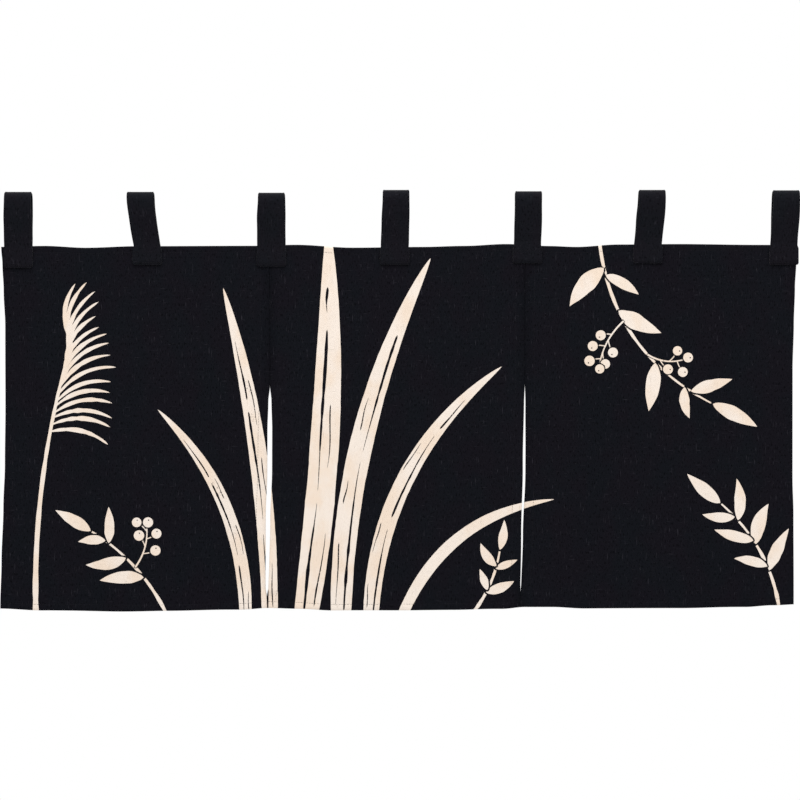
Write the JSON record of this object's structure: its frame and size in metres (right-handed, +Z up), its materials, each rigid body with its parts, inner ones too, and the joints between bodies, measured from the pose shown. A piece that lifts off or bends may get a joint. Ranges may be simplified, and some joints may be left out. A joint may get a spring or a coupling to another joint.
{
  "type": "noren curtain",
  "caption": "Short doorway curtain of black cotton panels with a cream plant print, parted by slits and hung from cloth loops that slide over a rod.",
  "frame": {"origin": "mid-width on the axis of the rod that the loops are made for", "axes": "+X to the right seen from the printed face, +Y towards the plain back, +Z up"},
  "size_m": [0.8549, 0.0212, 0.4509],
  "materials": {
    "panel_cotton": "matt slubby black cotton, dye-printed in cream on its front",
    "loop_cotton": "matt plain black cotton"
  },
  "bodies": {
    "root": {"panel_left": "panel_cotton", "panel_centre": "panel_cotton", "panel_right": "panel_cotton", "tab_1": "loop_cotton", "tab_2": "loop_cotton", "tab_3": "loop_cotton", "tab_4": "loop_cotton", "tab_5": "loop_cotton", "tab_6": "loop_cotton", "tab_7": "loop_cotton"}
  },
  "joints": []
}
